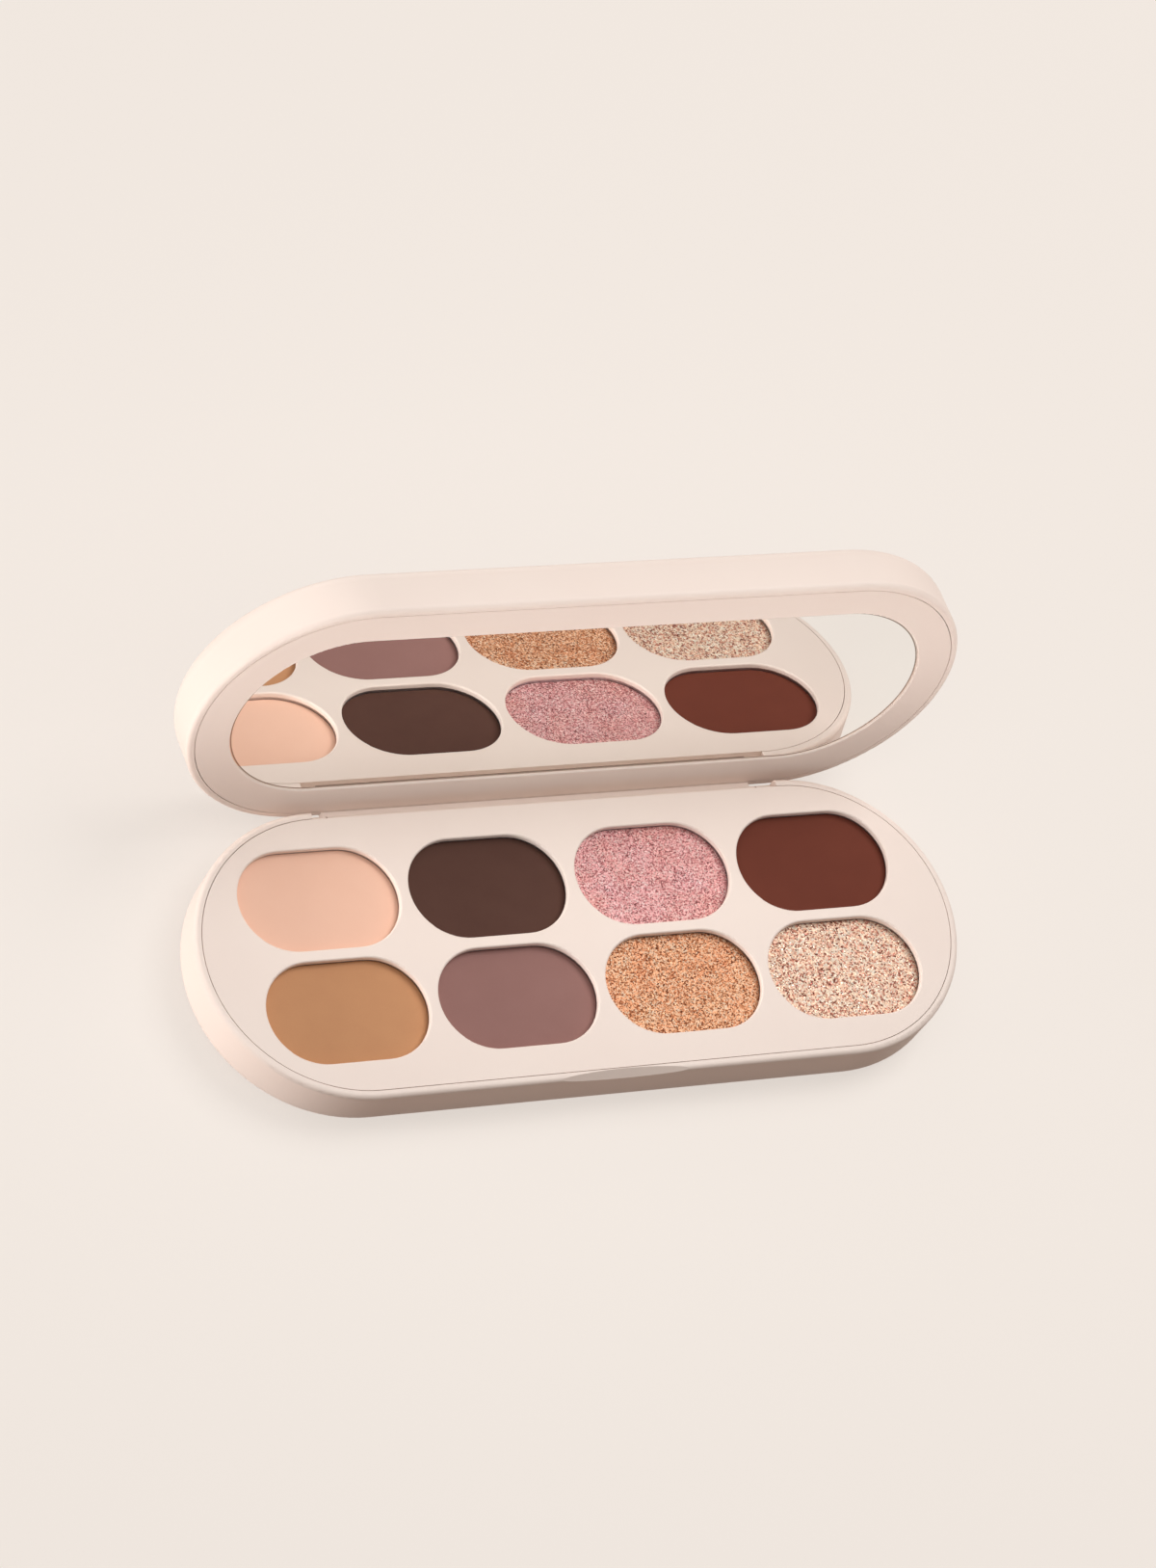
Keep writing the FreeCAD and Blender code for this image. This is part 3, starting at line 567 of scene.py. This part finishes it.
def pale_foam(name, colour, deep, cell):
    """Dull white foam or glue, pitted by cells of the given size."""
    material, tree, shader = new_finish(name)
    cells = node(tree, "ShaderNodeTexVoronoi", Scale=1.0 / cell, Vector=place_of(tree))
    pits = cells.outputs["Distance"]
    put(tree, shader, "Base Color", ramp(tree, pits, [(0.1, deep), (0.6, colour)]))
    put(tree, shader, "Roughness", spread(tree, pits, 0.7, 0.9))
    put(tree, shader, "Normal", bump(tree, pits, PIT_DEPTH))
    return material


dress(pale_foam("pan_glue", srgb(232, 228, 218), srgb(214, 208, 196), cell=0.6 * MM),
      "pan_adhesive")
dress(pale_foam("foam_tape", srgb(240, 240, 238), srgb(222, 222, 220), cell=0.25 * MM),
      "mirror_tape")


# %% [markdown]
# ## Floor
# The case lies on a plain warm white surface. A white floor throws so much light back that the
# front wall of the case loses its shade, so the floor is pale only where the camera, the mirror or
# glass looks at it. To all other light it is a duller paper. Part of the pale colour is its own
# light, which keeps it even, and the rest takes the case's shadow. Further out, where the lamps
# stand, it is all its own light and fades into the room, so that no lamp leaves a white patch in a
# view from the side.

# %% What looks at a surface, and from how far
LAMP_FREE = 0.28
LAMP_NEAR = 0.55


def looked_at(tree):
    """1 where the camera, a mirror or glass looks at a surface, and 0 for the light it throws."""
    rays = tree.nodes.new("ShaderNodeLightPath").outputs
    seen = rays["Is Camera Ray"]
    for ray in ("Is Glossy Ray", "Is Transmission Ray"):
        seen = reckon(tree, "ShaderNodeMath", "MAXIMUM", seen, rays[ray]).outputs[0]
    return seen


def away(tree, near, far):
    """One value round the case and another where the lamps stand, with a soft change between."""
    reach = reckon(tree, "ShaderNodeVectorMath", "LENGTH", place_of(tree))
    made = node(tree, "ShaderNodeMapRange", Value=reach.outputs["Value"], From_Min=LAMP_FREE,
                From_Max=LAMP_NEAR, To_Min=near, To_Max=far)
    return made.outputs["Result"]


def mixed(tree, share, first, second):
    """Two shaders mixed: a share of 0 gives the first and 1 the second."""
    made = node(tree, "ShaderNodeMixShader", Fac=share)
    put(tree, made, 1, first.outputs[0])
    put(tree, made, 2, second.outputs[0])
    return made


print("lamp light on the floor fades out between", LAMP_FREE, "and", LAMP_NEAR, "m")


# %% Warm white floor
FLOOR_SIDE = 6.0
FLOOR_PALE = srgb(246, 237, 229)
FLOOR_DULL = srgb(164, 128, 106)
FLOOR_GLOW = 0.72
FLOOR_LIGHT = 1.02
ROOM_SEEN = 0.95
FIBRE_SIZE = 0.7 * MM
FIBRE_DEPTH = 0.01 * MM


def floor_paper():
    material = bpy.data.materials.new("floor_paper")
    material.use_nodes = True
    tree = material.node_tree
    tree.nodes.clear()
    paper = bump(tree, noise(tree, FIBRE_SIZE, detail=3.0), FIBRE_DEPTH)
    lit = node(tree, "ShaderNodeBsdfDiffuse", Color=FLOOR_PALE, Normal=paper)
    own = node(tree, "ShaderNodeEmission", Color=FLOOR_PALE,
               Strength=away(tree, FLOOR_LIGHT, ROOM_SEEN))
    pale = mixed(tree, away(tree, FLOOR_GLOW, 1.0), lit, own)
    dull = node(tree, "ShaderNodeBsdfDiffuse", Color=FLOOR_DULL, Normal=paper)
    both = mixed(tree, looked_at(tree), dull, pale)
    node(tree, "ShaderNodeOutputMaterial", Surface=both.outputs[0])
    return material


floor_sheet = bmesh.new()
bmesh.ops.create_grid(floor_sheet, x_segments=1, y_segments=1, size=FLOOR_SIDE / 2)
floor_data = bpy.data.meshes.new("floor")
floor_sheet.to_mesh(floor_data)
floor_sheet.free()
floor = bpy.data.objects.new("floor", floor_data)
scene.collection.objects.link(floor)
floor_data.materials.append(floor_paper())
print("floor:", FLOOR_SIDE, "m square")

# %% [markdown]
# ## Light
# The photograph has a weak light from all round and a soft box above and behind the right end,
# which leaves the far walls of the openings and the front of the case in shade. A low strip on the
# left whitens the left ends. The inner face of the lid looks away from all of these, so two small
# lamps light it: one over the tray, and one low over the front of the tray that shines up at the
# lid and leaves the hinge in the shade of the tray. A weak one lifts the back of the lid. Each is
# an area lamp, given by where it stands and what it points at. None shows to the camera. The camera
# and the mirror see the colour of the floor all round, and the two strips leave no streaks in the
# mirror and the plastic.

# %% Light from all round
ROOM_LIGHT = 0.20
ROOM_WHITE = srgb(255, 251, 247)

world = bpy.data.worlds.new("studio")
scene.world = world
world.use_nodes = True
room = world.node_tree
lit_room = room.nodes["Background"]
put(room, lit_room, "Color", ROOM_WHITE)
put(room, lit_room, "Strength", ROOM_LIGHT)
seen_room = node(room, "ShaderNodeBackground", Color=FLOOR_PALE, Strength=ROOM_SEEN)
both_rooms = mixed(room, looked_at(room), lit_room, seen_room)
put(room, room.nodes["World Output"], "Surface", both_rooms.outputs[0])
print("room light:", ROOM_LIGHT, "and as it is seen:", ROOM_SEEN)


# %% Lamps
TRAY = (0.0, 0.010, 0.010)
LID_FOOT = (0.0, 0.030, 0.030)
LID_TOP = (0.0, 0.034, 0.050)
LID_STRIP_SPREAD = math.radians(90)


def soft_box(name, stand, aim, width, height, power):
    """An area lamp that stands at one point and shines at another, in metres and watts."""
    lamp_data = bpy.data.lights.new(name, "AREA")
    lamp_data.shape = "RECTANGLE"
    lamp_data.size = width
    lamp_data.size_y = height
    lamp_data.energy = power
    lamp = bpy.data.objects.new(name, lamp_data)
    scene.collection.objects.link(lamp)
    lamp.visible_camera = False
    lamp.location = Vector(stand)
    lamp.rotation_mode = "QUATERNION"
    lamp.rotation_quaternion = (Vector(stand) - Vector(aim)).to_track_quat("Z", "Y")
    print(name, "at", stand, "power", power)
    return lamp


soft_box("key", stand=(0.72, 0.47, 1.37), aim=TRAY, width=0.9, height=0.9, power=14.6)
soft_box("over_tray", stand=(0.0, 0.0, 0.12), aim=LID_FOOT, width=0.22, height=0.04, power=0.042)
soft_box("lid_back", stand=(0.15, 0.90, 0.06), aim=LID_FOOT, width=0.6, height=0.10, power=1.6)
left_strip = soft_box("left_strip", stand=(-0.90, 0.055, 0.064), aim=TRAY,
                      width=0.6, height=0.10, power=7.8)
left_strip.visible_glossy = False
lid_strip = soft_box("lid_strip", stand=(0.0, -0.022, 0.024), aim=LID_TOP,
                     width=0.26, height=0.010, power=0.022)
lid_strip.data.spread = LID_STRIP_SPREAD
lid_strip.visible_glossy = False
